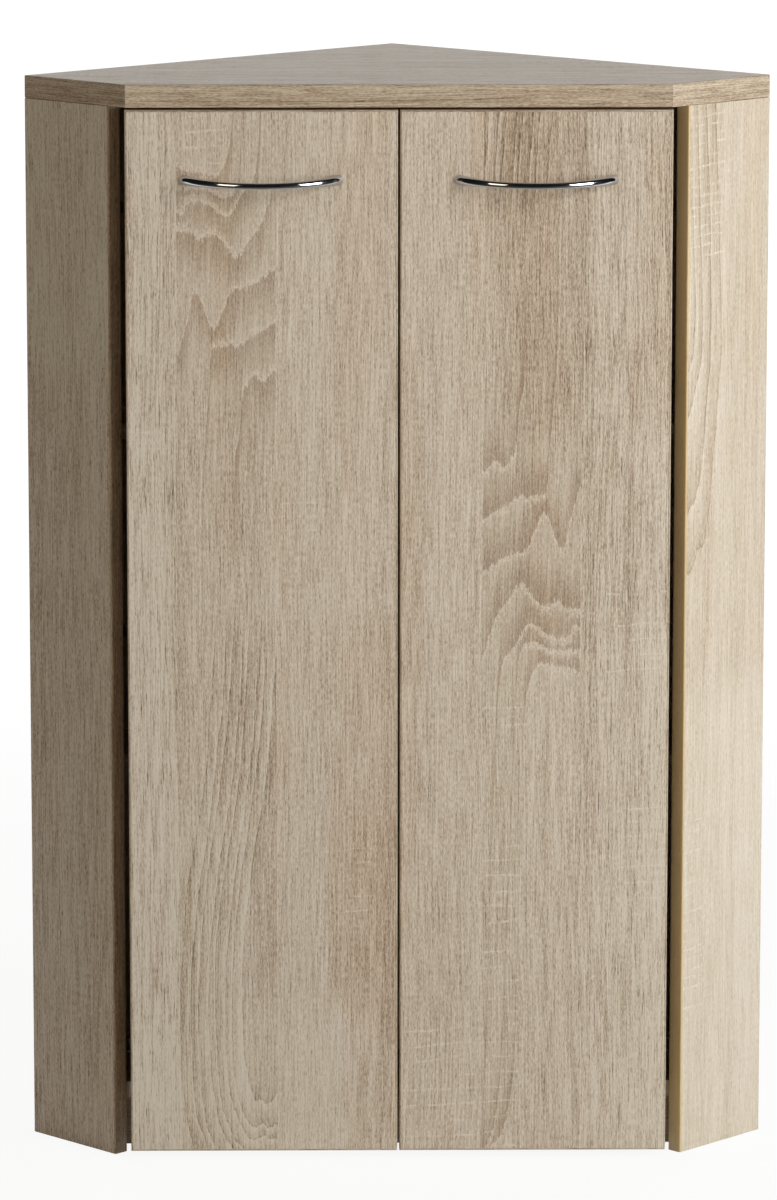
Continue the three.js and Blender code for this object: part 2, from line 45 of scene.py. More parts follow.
half = 0.70711  # the sine of 45 degrees, the angle of the side panels
hands = {"left": -1, "right": 1}  # which way a side lies along x
print("frame loaded:", len(nodes), "nodes")

# Camera, at the photograph's viewing angle: standing, a little above the cupboard
camera = {
    "place": (-0.0968, -6.3657, 1.7549),
    "pitchDown": 0.161,
    "turnRight": 0.011,
    "lens": 171.6,
    "sensor": 36,
    "shift": (0.014, -0.10),
    "seesTo": 100,
}


def makeCamera(c):
    data = bpy.data.cameras.new("camera")
    data.lens = c["lens"]
    data.sensor_width = c["sensor"]
    data.shift_x, data.shift_y = c["shift"]
    data.clip_end = c["seesTo"]
    eye = bpy.data.objects.new("camera", data)
    eye.location = c["place"]
    eye.rotation_euler = (np.pi / 2 - c["pitchDown"], 0, -c["turnRight"])
    bpy.context.scene.collection.objects.link(eye)
    bpy.context.scene.camera = eye


makeCamera(camera)
print("camera placed")


# A socket in a material's nodes. Sums on it add Math nodes.
class Wire:
    def __init__(self, finish, socket):
        self.finish = finish
        self.socket = socket

    def math(self, operation, *values):
        inputs = dict(enumerate(values))
        return self.finish.node("Math", {"operation": operation}, inputs)

    def __add__(self, other):
        return self.math("ADD", self, other)

    __radd__ = __add__

    def __mul__(self, other):
        return self.math("MULTIPLY", self, other)

    __rmul__ = __mul__

    def __sub__(self, other):
        return self.math("SUBTRACT", self, other)

    def __rsub__(self, other):
        return self.math("SUBTRACT", other, self)

    def __truediv__(self, other):
        return self.math("DIVIDE", self, other)

    def __neg__(self):
        return 0 - self

    def __abs__(self):
        return self.math("ABSOLUTE", self)

    def least(self, other):
        return self.math("MINIMUM", self, other)

    def most(self, other):
        return self.math("MAXIMUM", self, other)

    def root(self):
        return self.math("SQRT", self)

    def sine(self):
        return self.math("SINE", self)

    # 0 below low, 1 above high, smooth between
    def step(self, low, high):
        ends = {0: self, 1: low, 2: high, 3: 0.0, 4: 1.0}
        return self.finish.node("MapRange", {"interpolation_type": "SMOOTHSTEP"}, ends)

    # 1 between low and high, 0 outside, with soft edges
    def between(self, low, high, soft):
        return self.step(low - soft, low + soft) * (1 - self.step(high - soft, high + soft))


# A colour given from 0 to 255, as it looks, made linear
def paint(red, green, blue):
    part = np.array([red, green, blue]) / 255
    linear = np.where(part <= 0.04045, part / 12.92, ((part + 0.055) / 1.055) ** 2.4)
    return (*linear.tolist(), 1.0)


class Finish:
    def __init__(self, name):
        self.material = bpy.data.materials.new(name)
        self.material.use_nodes = True
        self.tree = self.material.node_tree
        self.tree.nodes.clear()

    # A node of a type, its settings first, then the values or links of its sockets
    def node(self, kind, settings=None, values=None, outlet=0):
        made = self.tree.nodes.new("ShaderNode" + kind)
        for key, value in (settings or {}).items():
            if key == "stops":
                self.setStops(made.color_ramp, value)
            elif key == "curve":
                self.setCurve(made.mapping, value)
            else:
                setattr(made, key, value)
        for key, value in (values or {}).items():
            if isinstance(value, Wire):
                self.tree.links.new(value.socket, made.inputs[key])
            else:
                made.inputs[key].default_value = value
        return Wire(self, made.outputs[outlet]) if len(made.outputs) else None

    def setStops(self, ramp, stops):
        while len(ramp.elements) < len(stops):
            ramp.elements.new(0.5)
        for element, (position, colour) in zip(ramp.elements, stops):
            element.position = position
            element.color = colour

    def setCurve(self, mapping, points):
        curve = mapping.curves[0]
        while len(curve.points) < len(points):
            curve.points.new(0.5, 0.5)
        for point, (x, y) in zip(curve.points, points):
            point.location = (x, y)
            point.handle_type = "AUTO_CLAMPED"
        mapping.update()

    def ramp(self, value, stops):
        return self.node("ValToRGB", {"stops": stops}, {0: value})

    def place(self):
        return self.node("TexCoord", outlet="Object")

    def axes(self, vector):
        split = self.tree.nodes.new("ShaderNodeSeparateXYZ")
        self.tree.links.new(vector.socket, split.inputs[0])
        return [Wire(self, out) for out in split.outputs]

    def mix(self, share, a, b, blend="MIX"):
        ends = {0: share, 6: a, 7: b}
        return self.node("Mix", {"data_type": "RGBA", "blend_type": blend}, ends, 2)

    # One of the noises over two lengths, -1 to 1
    def noise(self, s, q, kind, seed=0):
        across, along, start, detail, rough = noises[kind]
        start = start + seed
        at = self.node("CombineXYZ", values={0: s * across + start, 1: q * along + start})
        values = {"Vector": at, "Scale": 1.0, "Detail": detail, "Roughness": rough}
        return self.node("TexNoise", {"noise_dimensions": "2D"}, values) * 2 - 1

    def bump(self, height, distance, strength):
        values = {"Height": height, "Distance": distance, "Strength": strength}
        return self.node("Bump", values=values)

    def surface(self, values):
        shader = self.node("BsdfPrincipled", values=values)
        self.node("OutputMaterial", values={"Surface": shader})
        return self.material


# Sawn oak film. s runs across the grain and q down it, in metres. The colours are the film's own.
oak = {
    "pore": paint(128, 108, 88),
    "dark": paint(187, 166, 142),
    "middle": paint(213, 197, 174),
    "light": paint(238, 227, 210),
    "pink": (1.0, 0.962, 0.93, 1.0),
    "green": (0.985, 0.99, 0.965, 1.0),
    "poreDepth": 0.25 * mm,
    "bumpStrength": 0.6,
}

# Noises: how many waves a metre across the grain and along it, where they start, detail, roughness
noises = {
    # The wood's own: what bends the grain, what shows in it, and veins where the last is near 0
    "bend": (6, 2.1, 0, 2.0, 0.5),
    "pores": (560, 22, 1, 3.0, 0.75),
    "fine": (850, 170, 2, 3.0, 0.75),
    "fibre": (470, 14, 3, 4.0, 0.82),
    "streak": (85, 2.2, 4, 3.0, 0.55),
    "band": (26, 1.1, 5, 2.0, 0.5),
    "tint": (21, 0.8, 6, 2.0, 0.5),
    "vein": (150, 4.2, 8, 3.0, 0.6),
    # The growth edges and the arches
    "jags": (210, 95, 5.3, 5.0, 0.72),
    "splinters": (950, 70, 7.7, 3.0, 0.6),
    "strokes": (380, 300, 6.1, 3.0, 0.8),
    "sway": (60, 7, 8.9, 4.0, 0.6),
    # The saw's marks: their waves, small breaks, gaps and patches
    "sawWave": (10, 36, 0, 3.0, 0.6),
    "sawBreaks": (330, 260, 1, 4.0, 0.8),
    "sawPatches": (34, 12, 2, 3.0, 0.7),
    "sawGaps": (26, 70, 3, 2.0, 0.6),
}

# How much each thing says in the tone, which goes from 0, a pore, to 1, the palest wood
woodTones = {
    "middle": 0.61,
    "fine": 0.5,
    "fibre": 0.55,
    "groove": 0.42,
    "lift": 0.05,  # makes up for the grooves
    "streak": 0.13,
    "band": 0.13,
    "heart": 0.08,  # of the doors' arches, which is darker
    "sideArches": 0.8,
    "saw": 0.6,
}
wood = {
    "bend": 7 * mm,
    "pored": (0.16, 0.5),  # where in their noise the pores begin and are full
    "pores": 0.85,  # how deep they are in the grooves
    "veins": 0.7,  # how deep these are
    "thinness": 9,  # of the veins, the more the thinner
    "heights": (0.2, 0.3),  # of the fine noise and the fibres, beside the grooves' 1
    "joint": 0.4 * mm,  # between two planks
    "facing": (0.2, 0.8),  # how far a face turns to the front where the figure begins and is full
    "covered": (0.5, 0.8),  # and to the front or back, for the film
    "calm": 0.45,  # how much contrast is lost near the figure
    "brown": (0.4, 0.35),  # of the dark wood under the edges, and of the arches' heart
    "arched": (0.48, 0.64),  # where down the door the arches begin and are full, in metres
    "hearted": (0.6, 0.8),  # the same for their brown heart
    "sawn": 0.9,  # how much more a sawn patch is marked than elsewhere
    "sawnSoft": 5,  # half the breadth of its soft edge, in millimetres
    "shadeSoft": 40,  # the same for a shade
    "shadeTint": 5,  # how much a shade changes the tint
    "grooveRoughness": 0.1,
    "roughness": 0.52,
    "gloss": 0.4,
}
chips = {
    "dark": paint(146, 112, 74),
    "middle": paint(188, 154, 110),
    "light": paint(220, 194, 152),
    "perMetre": 330.0,
    "height": 1.5,  # in pore depths
    "roughness": 0.85,
}

# The figured plank of the doors, in millimetres: across the plank, and down from the door's upper
# edge. Above each drawn edge the wood is pale, and below it dark.
figure = {
    "width": 107,
    "above": 500,  # how far the plank goes on above that edge, as it does on the right door
    "length": 1200,
    "edges": [
        [(0, 62), (20, 67), (43, 71), (51, 61), (58, 36), (61, 6), (64, -110), (67, -260),
         (72, -400), (107, -490)],
        [(0, 87), (20, 85), (38, 89), (49, 95), (58, 94), (64, 87), (67, 74), (69, 51),
         (73, -60), (79, -230), (86, -400), (107, -490)],
        [(0, 112), (7, 114), (10, 103), (20, 99), (35, 102), (44, 109), (55, 116), (64, 105),
         (69, 94), (75, 86), (88, 50), (92, -30), (97, -180), (102, -380), (107, -490)],
        [(0, 130), (17, 132), (26, 141), (32, 135), (41, 135), (50, 143), (65, 159), (75, 147),
         (81, 137), (90, 126), (96, 111), (102, 93), (107, 75)],
        [(0, 272), (13, 224), (17, 204), (21, 197), (28, 210), (39, 237), (49, 221), (58, 199),
         (65, 194), (78, 191), (90, 183), (107, 172)],
        [(0, 1200), (24, 1200), (27, 420), (31, 346), (35, 301), (36, 271), (39, 259), (51, 256),
         (66, 256), (78, 247), (90, 241), (107, 230)],
        [(0, 1200), (61, 1200), (62, 392), (68, 346), (70, 316), (78, 295), (84, 289), (94, 295),
         (99, 289), (107, 283)],
    ],
}

# Nested arches lower down the same plank: the growth rings round a core that lies a depth behind
# the face. Their radii, and the core's place across the plank and its depth, given down the board.
doorArches = {
    "radii": [28, 39, 46, 57, 64, 76, 83, 95],
    "core": [(500, 140), (735, 122), (860, 104), (950, 96), (1200, 94)],
    "depth": [(500, 3), (930, 4), (1016, 10), (1070, 19), (1099, 28), (1141, 46), (1175, 66),
              (1200, 84)],
}
sideArches = {
    "radii": [14, 24, 35, 50, 66],
    "core": [(0, 44), (300, 58), (1200, 66)],
    "depth": [(0, 4), (180, 6), (260, 15), (325, 30), (380, 38), (441, 48), (600, 90), (1200, 190)],
}


# The distances up and down to the nearest of some drawn edges, in metres
def edgeDistances(f, s, q, edges):
    wide, high, long = figure["width"], figure["above"], figure["above"] + figure["length"]
    share = s / (wide * mm)
    far = 10.0  # more than any distance on a board
    above = below = far
    for edge in edges:
        points = [(x / wide, (y + high) / long) for x, y in edge]
        line = f.node("FloatCurve", {"curve": points}, {"Value": share})
        apart = q - line * (long * mm) + high * mm
        under = apart.math("GREATER_THAN", apart, 0.0)
        above = (apart + (1 - under) * far).least(above)
        below = (under * far - apart).least(below)
    return above, below


growthEdges = {
    "jags": 8 * mm,
    "splinters": 7 * mm,
    "pale": 13 * mm,  # how far the pale wood reaches above an edge
    "line": 2.6 * mm,
    "dark": 56 * mm,
    "nearAbove": 120 * mm,  # where the plain wood's own contrast gives way
    "nearBelow": 30 * mm,
    "paleTones": (0.4, 0.02),  # in the short strokes, and between them
    "lineTones": (0.22, 0.14),
    "darkTone": 0.2,
    "strokeTone": 0.09,
    "strokeMean": 0.4,
    "crisp": 0.28,  # where in their noise the strokes are full
}


# Tone of the figured plank, positive where it's paler. The distances to the nearest edges above
# and below give a pale line, pale strokes above the edge and dark wood that fades below it.
def edgeTone(f, s, q, c=growthEdges):
    jag = f.noise(s, q, "jags") * c["jags"] + f.noise(s, q, "splinters") * c["splinters"]
    above, below = edgeDistances(f, s, q + jag, figure["edges"])
    pale = 1 - below.step(0.0, c["pale"])
    line = 1 - below.step(0.0, c["line"])
    dark = 1 - above.step(0.0, c["dark"])
    near = (1 - above.step(0.0, c["nearAbove"])).most(1 - below.step(0.0, c["nearBelow"]))
    crisp = f.noise(s, q, "strokes").step(0.0, c["crisp"])
    (paleStroke, paleRest), (lineStroke, lineRest) = c["paleTones"], c["lineTones"]
    tone = pale * (crisp * paleStroke + paleRest) + line * (crisp * lineStroke + lineRest)
    tone = tone - dark * (1 - pale) * c["darkTone"]
    tone = tone + near * (1 - pale) * (crisp - c["strokeMean"]) * c["strokeTone"]
    return tone, dark * (1 - pale), near


# A length that changes down the board as drawn: pairs of a place and a length, in millimetres,
# whose largest are long and most
def drawnLength(f, q, points, most=200, long=1200):
    curve = [(x / long, y / most) for x, y in points]
    return f.node("FloatCurve", {"curve": curve}, {"Value": q / (long * mm)}) * (most * mm)


archTones = {"dark": 0.19, "rim": 0.14, "pale": 0.12, "heart": 0.5}
archParts = {
    "sway": 3.5 * mm,
    "dark": (0.1, 1.0),  # where between two rings it begins and is full, as for the next two
    "rim": (0.86, 0.97),
    "pale": (0.0, 0.35),
    "heart": (0.98, 1.0),
    "outmost": 0.03,
}


# Tone of nested arches: the distance from the core is the root of the sum of the squares of the
# place across and the depth. Between two rings it darkens towards the outer one, and turns pale
# just past it. The heart, inside the first ring, is given too. The most is the largest radius.
def archTone(f, s, q, c, most=120):
    part, tones = archParts, archTones
    sway = f.noise(s, q, "sway") * part["sway"]
    off = s - drawnLength(f, q, c["core"])
    depth = drawnLength(f, q + sway * 2, c["depth"])
    radius = (off * off + depth * depth).root() + sway
    rings = [(0, 0)] + [(ring / most, (i + 1) / 10) for i, ring in enumerate(c["radii"])]
    count = f.node("FloatCurve", {"curve": rings}, {"Value": radius / (most * mm)}) * 10
    last = len(c["radii"])
    share = count.math("FRACT", count)
    dark = share.step(*part["dark"]) * tones["dark"] + share.step(*part["rim"]) * tones["rim"]
    heart = 1 - count.step(*part["heart"])
    pale = (1 - share.step(*part["pale"])) * (1 - heart)
    tone = pale * tones["pale"] - dark * (1 - heart * tones["heart"])
    return tone * (1 - count.step(last - part["outmost"], last)), heart


sawCut = {
    "pitch": 11 * mm,
    "slant": 0.06,
    "wave": 6 * mm,
    "line": 1.5 * mm,
    "broken": (-0.25, 0.4),  # where in their noises the marks begin and are full
    "kept": (-0.3, 0.35),
    "patches": (0.3, 0.8),
}


# Pale marks of the saw: thin slanting lines across the grain, where a sine down the board is near
# its ends, in patches, broken by the fibres
def sawMarks(f, s, q, seed, pitch, chosen, c=sawCut):
    wave = f.noise(s, q, "sawWave", seed)
    turn = (q + s * c["slant"] + wave * c["wave"]) * (np.pi / pitch)
    line = abs(turn.sine()).step(1 - (c["line"] / pitch) ** 2 * 5, 1.0)
    broken = f.noise(s, q, "sawBreaks", seed).step(*c["broken"])
    kept = f.noise(s, q, "sawGaps", seed).step(*c["kept"])
    where = (f.noise(s, q, "sawPatches", seed) + chosen).step(*c["patches"])
    return line * broken * kept * where


# 1 inside a patch given in millimetres, 0 outside, with soft edges
def patchOf(s, q, low, high, top, foot, soft):
    return s.between(low * mm, high * mm, soft * mm) * q.between(top * mm, foot * mm, soft * mm)


# The raw core at the ends of the boards: pressed chips, 3 mm across, each of its own tone
def chipboard(f):
    at = {"Vector": f.place(), "Scale": chips["perMetre"]}
    cell = f.node("TexVoronoi", {"feature": "F1"}, at, 1)
    tone = f.axes(cell)[0]
    stops = [(0.15, chips["dark"]), (0.5, chips["middle"]), (0.85, chips["light"])]
    return f.ramp(tone, stops), tone * chips["height"]


# Growing wood seen through the film: long pores, fibres, streaks and broad bands. The planks are
# the left, the figured and the right one of a door: how strong their pores are, and their tones.
def oakFinish(name, place, seed, planks=(1.0, 1.0, 1.0), tones=(0.0, 0.0, 0.0), **look):
    f = Finish(name)
    s, q = place(f)
    grain = s + f.noise(s, q, "bend", seed) * wood["bend"]
    kinds = ["pores", "fine", "fibre", "streak", "band", "tint", "vein"]
    pores, fine, fibre, streak, band, tint, vein = [f.noise(grain, q, kind, seed) for kind in kinds]
    wide, joint = figure["width"] * mm, wood["joint"]
    left = 1 - s.step(-joint, joint)
    right = s.step(wide - joint, wide + joint)
    middle = 1 - left - right
    strength = left * planks[0] + middle * planks[1] + right * planks[2]
    thin = (1 - abs(vein) * wood["thinness"]).most(0) * (fibre + 0.5).most(0).least(1)
    groove = (pores.step(*wood["pored"]) * wood["pores"] + thin * wood["veins"]) * strength
    if look["face"]:
        turned = zip(f.axes(f.node("TexCoord", outlet="Normal")), look["face"])
        facing = sum(part * length for part, length in turned if length)
        front = facing.step(*wood["facing"])
    contrast = look.get("contrast", 1.0)
    share = woodTones
    figured = 0.0
    if look.get("figured"):
        figured, brown, near = edgeTone(f, s, q)
        arches, heart = archTone(f, s, q, doorArches)
        arches = (arches - heart * share["heart"]) * q.step(*wood["arched"])
        edgeBrown, heartBrown = wood["brown"]
        brown = brown * edgeBrown + heart * q.step(*wood["hearted"]) * heartBrown
        figured = (figured + arches) * middle * front
        contrast = (1 - near * middle * front * wood["calm"]) * contrast
        tint = tint + brown * middle * front
    tone = fine * share["fine"] + fibre * share["fibre"] - groove * share["groove"]
    tone = (tone + share["lift"]) * contrast + streak * share["streak"] + band * share["band"]
    # Paleness lifts or lowers the whole tone; on the side panels' strips it is painted light and
    # painted shade
    tone = tone + share["middle"] + look.get("paleness", 0.0)
    tone = tone + left * tones[0] + middle * tones[1] + right * tones[2] + figured
    if look.get("arched"):
        tone = tone + archTone(f, s, q, sideArches)[0] * front * share["sideArches"]
    sawn = 0.0
    for limits in look.get("sawn", []):
        sawn = patchOf(s, q, *limits, wood["sawnSoft"]) * wood["sawn"] + sawn
    marks = sawMarks(f, s, q, seed + 7, look.get("pitch", sawCut["pitch"]), sawn)
    # Patches where the tone is made paler or darker, and the tint with it; the broad ones on the
    # side panels are painted light
    for shade, limits in look.get("shades", []):
        patch = patchOf(s, q, *limits, wood["shadeSoft"]) * front
        tone = tone + patch * shade
        tint = tint - patch * (shade * wood["shadeTint"])
    tone = tone + marks * share["saw"]
    stops = [(0.06, oak["pore"]), (0.36, oak["dark"]), (0.56, oak["middle"]), (0.92, oak["light"])]
    colour = f.ramp(tone, stops)
    colour = f.mix(tint.step(0.0, 0.6), colour, oak["pink"], "MULTIPLY")
    colour = f.mix((-tint).step(0.0, 0.6), colour, oak["green"], "MULTIPLY")
    # A colour cast multiplied over the finish; on the side panels' strips it is part of their
    # painted light and painted shade
    if look.get("cast"):
        colour = f.mix(1.0, colour, look["cast"], "MULTIPLY")
    fineHeight, fibreHeight = wood["heights"]
    height = fine * fineHeight + fibre * fibreHeight - groove
    roughness = groove * wood["grooveRoughness"] + look.get("roughness", wood["roughness"])
    if look["face"]:
        covered = abs(facing).step(*wood["covered"])
        core, coreHeight = chipboard(f)
        colour = f.mix(covered, core, colour)
        height = (height - coreHeight) * covered + coreHeight
        roughness = (roughness - chips["roughness"]) * covered + chips["roughness"]
    normal = f.bump(height, oak["poreDepth"], oak["bumpStrength"])
    return f.surface(
        {
            "Base Color": colour,
            "Roughness": roughness,
            "Normal": normal,
            "Specular IOR Level": look.get("gloss", wood["gloss"]),
        }
    )


# How s and q lie on each board. The right door's film is the left one's turned upside down.
patternStarts = {
    "leftDoor": (-240.2 * mm, 1162.5 * mm),
    "rightDoor": (198 * mm, 486.3 * mm),
    "sides": 1165 * mm,
}


def leftDoorPlace(f):
    x, y, z = f.axes(f.place())
    across, top = patternStarts["leftDoor"]
    return x - across, top - z


def rightDoorPlace(f):
    x, y, z = f.axes(f.place())
    across, foot = patternStarts["rightDoor"]
    return across - x, z - foot


def leftSidePlace(f):
    x, y, z = f.axes(f.place())
    return (x - y) * half, patternStarts["sides"] - z


def rightSidePlace(f):
    x, y, z = f.axes(f.place())
    return (x + y) * half, patternStarts["sides"] - z


def lyingPlace(f):
    x, y, z = f.axes(f.place())
    return y, x


def railPlace(f):
    x, y, z = f.axes(f.place())
    return z, x


def stripPlace(f):
    along, about, none = f.axes(f.node("TexCoord", outlet="UV"))
    return about, along


# Patches in millimetres, from low to high across and from top to foot down: where the saw's marks
# show, and where the tone is made paler (above 0) or darker
leftSawn = [(3, 52, 2, 74), (-48, -4, 350, 372), (110, 150, 415, 470), (150, 215, 800, 900)]
rightSawn = [
    (-95, -29, 55, 155),
    (-95, -40, -217, -64),
    (63, 107, -486, -130),
    (112, 194, -500, -330),
    (60, 107, -10, 25),
]
flames = [
    (-0.12, (64, 107, 310, 500)),
    (-0.04, (72, 107, 760, 1110)),
    (-0.06, (70, 107, -110, 30)),
]
leftShades = [
    (-0.08, (165, 400, 560, 1500)),
    (0.1, (-200, 400, 1000, 1500)),
    (0.1, (0, 107, 760, 1120)),
    (-0.1, (172, 400, 760, 1500)),
    (0.05, (112, 160, 760, 1500)),
] + flames
rightShades = [
    (0.12, (-200, -50, -700, 120)),
    (0.06, (-200, -50, -700, -100)),
    (-0.06, (-200, -50, 330, 660)),
    (-0.1, (0, 107, 330, 900)),
    (0.05, (0, 107, -900, 100)),
]

# A look's face is the way out of the board's front, where its pattern shows; with None there are no
# raw ends
doorLook = {"face": (0, -1, 0), "figured": True, "contrast": 1.28, "pitch": 17 * mm}
lyingLook = {"roughness": 0.42, "gloss": 0.55, "contrast": 1.5}
stripLook = {"face": None, "roughness": 0.36, "gloss": 0.5}
oakFinishes = {
    "leftDoor": oakFinish(
        "oakLeftDoor",
        leftDoorPlace,
        2.3,
        (1.65, 0.65, 0.6),
        (0.14, 0.0, 0.03),
        shades=leftShades,
        sawn=leftSawn,
        **doorLook,
    ),
    "rightDoor": oakFinish(
        "oakRightDoor",
        rightDoorPlace,
        2.3,
        (1.35, 0.65, 0.5),
        (0.0, -0.05, 0.0),
        shades=rightShades,
        sawn=rightSawn,
        **doorLook,
    ),
    "left": oakFinish(
        "oakLeftSide",
        leftSidePlace,
        11.7,
        (0.8, 0.8, 0.8),
        contrast=1.75,
        face=(-half, -half, 0),
        # painted light: the upper 300 mm of the left side panel is made paler over its whole
        # breadth
        shades=[(0.13, (-400, 800, -300, 300))],
    ),
    "right": oakFinish(
        "oakRightSide",
        rightSidePlace,
        23.9,
        (0.6, 0.6, 0.6),
        contrast=0.8,
        face=(half, -half, 0),
        arched=True,
        sawn=[(60, 122, 8, 170), (60, 100, 780, 1010)],
        # painted light: the right side panel is made paler from 650 mm down, over its whole breadth
        shades=[(0.12, (-400, 800, 650, 1500))],
    ),
    "lying": oakFinish("oakLying", lyingPlace, 31.1, face=(0, 0, 1), **lyingLook),
    "bottom": oakFinish("oakBottom", lyingPlace, 31.1, face=None, **lyingLook),
    "rail": oakFinish("oakRail", railPlace, 37.7, face=(0, -1, 0)),
    "strip": oakFinish(
        "oakStrip",
        stripPlace,
        41.3,
        paleness=-0.19,
        cast=(1.0, 0.985, 0.95, 1.0),
        **stripLook,
    ),
    "leftStrip": oakFinish(
        "oakLeftStripPaintedShade",
        stripPlace,
        47.9,
        (0.8, 0.8, 0.8),
        # painted shade: this strip, in the slot behind the left door's edge, is made darker and
        # warmer than the other strips
        paleness=-0.3,
        cast=(1.0, 0.92, 0.8, 1.0),
        **stripLook,
    ),
    "rightStrip": oakFinish(
        "oakRightStripPaintedLight",
        stripPlace,
        53.1,
        (0.6, 0.6, 0.6),
        # painted light: this strip, in the slot beside the right door, is made paler and golden, as
        # warm bounce light would make it
        paleness=0.3,
        cast=(1.0, 0.85, 0.54, 1.0),
        **stripLook,
    ),
}


wear = {"perMetre": 160.0, "detail": 3.0, "depth": 0.05 * mm, "strength": 0.3, "dulls": 0.5}


# A metal with fine wear, which changes its roughness by up to a quarter
def metal(name, colour, roughness, metallic=1.0, c=wear):
    f = Finish(name)
    values = {"Vector": f.place(), "Scale": c["perMetre"], "Detail": c["detail"]}
    worn = f.node("TexNoise", values=values) - 0.5
    return f.surface(
        {
            "Base Color": colour,
            "Metallic": metallic,
            "Roughness": roughness + worn * roughness * c["dulls"],
            "Normal": f.bump(worn, c["depth"], c["strength"]),
        }
    )


chrome = metal("chromedMetal", paint(208, 210, 214), 0.09)
nickel = metal("nickelledSteel", paint(158, 155, 148), 0.36, 0.45)
zinc = metal("zincedSteel", paint(164, 166, 168), 0.4, 0.4)
print("finishes made")


# Quads between the points of a grid, rows by columns, whose columns close on themselves, and whose
# rows may; and the row and column of each corner
def gridFaces(rows, columns, closeRows):
    row = np.arange(rows if closeRows else rows - 1)
    i, j = np.meshgrid(row, np.arange(columns), indexing="ij")
    corners = [(i, j), (i + 1, j), (i + 1, j + 1), (i, j + 1)]
    flat = [((a % rows) * columns + b % columns).ravel() for a, b in corners]
    return np.stack(flat, axis=1), [(a.ravel(), b.ravel()) for a, b in corners]


# A piece from a grid of points. Open rows are closed with a flat face at each end. The lengths
# along the rows and about the columns become its UV map.
def gridPiece(name, points, finish, body, closeRows=False, lengths=None):
    rows, columns = points.shape[:2]
    faces, corners = gridFaces(rows, columns, closeRows)
    faces = faces.tolist()
    if not closeRows:
        first = list(range(columns))
        faces += [first[::-1], [(rows - 1) * columns + i for i in first]]
    mesh = bpy.data.meshes.new(name)
    mesh.from_pydata(points.reshape(-1, 3).tolist(), [], faces)
    if lengths:
        along, about = lengths
        uv = np.stack([np.stack([along[a], about[b]], axis=1) for a, b in corners], axis=1)
        layer = mesh.uv_layers.new(name="along")
        spare = np.zeros((len(mesh.loops) - uv.shape[0] * 4, 2))
        layer.uv.foreach_set("vector", np.concatenate([uv.reshape(-1, 2), spare]).ravel())
    return finishPiece(name, mesh, finish, body)


meshing = {"join": 1e-6, "sharp": 35}  # metres, degrees


# Joins double points, turns the faces outwards, and shades smooth but for the sharp edges
def finishPiece(name, mesh, finish, body, c=meshing):
    work = bmesh.new()
    work.from_mesh(mesh)
    bmesh.ops.remove_doubles(work, verts=work.verts, dist=c["join"])
    bmesh.ops.recalc_face_normals(work, faces=work.faces)
    work.to_mesh(mesh)
    work.free()
    mesh.shade_smooth()
    mesh.set_sharp_from_angle(angle=np.radians(c["sharp"]))
    mesh.materials.append(finish)
    piece = bpy.data.objects.new(name, mesh)
    bpy.context.scene.collection.objects.link(piece)
    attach(piece, body)
    return piece


# The edging strips
strips = {
    "board": 18 * mm,  # of the side panels
    "thickness": 2 * mm,
    "glueLine": 0.1 * mm,
    "arris": 1.6 * mm,
    "arrisSteps": 7,
    "shoulder": 0.25 * mm,  # flat beside each rounded arris, so that it shades flat
}


# The section of a strip: x out of the board, y through its thickness, two corners rounded
def stripProfile(boardThickness, c=strips):
    turn = np.linspace(-np.pi / 2, 0, c["arrisSteps"] + 1)
    low = np.stack([c["arris"] * (np.cos(turn) - 1), c["arris"] * (np.sin(turn) + 1)], axis=1)
    high = low[::-1] * [1, -1] + [0, boardThickness]
    shoulder = np.array([[0, c["arris"] + c["shoulder"]]])
    far = shoulder * [1, -1] + [0, boardThickness]
    back = np.array([[-c["thickness"], boardThickness], [-c["thickness"], 0]])
    return np.concatenate([low, shoulder, far, high, back])


# How far a section reaches out at each corner of an outline that runs anticlockwise: along the
# mean of the two edges' normals, lengthened so that the strip keeps its thickness
def mitres(path):
    edges = np.diff(path, axis=0)
    normals = np.stack([edges[:, 1], -edges[:, 0]], axis=1)
    normals /= np.linalg.norm(normals, axis=1, keepdims=True)
    before, after = normals[:-1], normals[1:]
    return (before + after) / (1 + np.sum(before * after, axis=1, keepdims=True))


# The length of a line of points up to each of them, and past the last by a closing length
def lengthsAlong(points, closing):
    steps = np.linalg.norm(np.diff(points, axis=0), axis=1)
    return np.cumsum([0, *steps, closing])


# A strip: its section carried along a path in the plane of two directions, mitred at the corners.
# A path's first and last points only say where the neighbours go, unless that end is cut square
# or the path is closed.
def makeStrip(
    name,
    node,
    path,
    board,
    origin,
    across,
    up,
    body="carcass",
    closed=False,
    square=(False, False),
    finish="strip",
):
    path = np.array(path, float)
    if closed:
        path = np.concatenate([path[-1:], path, path[:1]])
    if square[0]:
        path = np.concatenate([2 * path[:1] - path[1:2], path])
    if square[1]:
        path = np.concatenate([path, 2 * path[-1:] - path[-2:-1]])
    core, out = path[1:-1], mitres(path)
    profile = stripProfile(board)
    flat = core[:, None, :] + profile[None, :, :1] * out[:, None, :]
    across, up = np.array(across, float), np.array(up, float)
    depth = np.cross(across, up)
    points = (
        np.array(origin)
        + flat[..., :1] * across
        + flat[..., 1:] * up
        + profile[None, :, 1:] * depth
    )
    closing = np.linalg.norm(core[0] - core[-1])
    lengths = (lengthsAlong(core, closing), lengthsAlong(profile, strips["thickness"]))
    film = oakFinishes[finish]
    piece = gridPiece(name, points, film, body, closed, lengths)
    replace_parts(piece, node)


def boxOf(node):
    low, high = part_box(node)
    return np.array(low), np.array(high)


def middleOf(node):
    low, high = boxOf(node)
    return (low + high) / 2


flatPlane = ((1, 0, 0), (0, 1, 0))
frontPlane = ((1, 0, 0), (0, 0, 1))


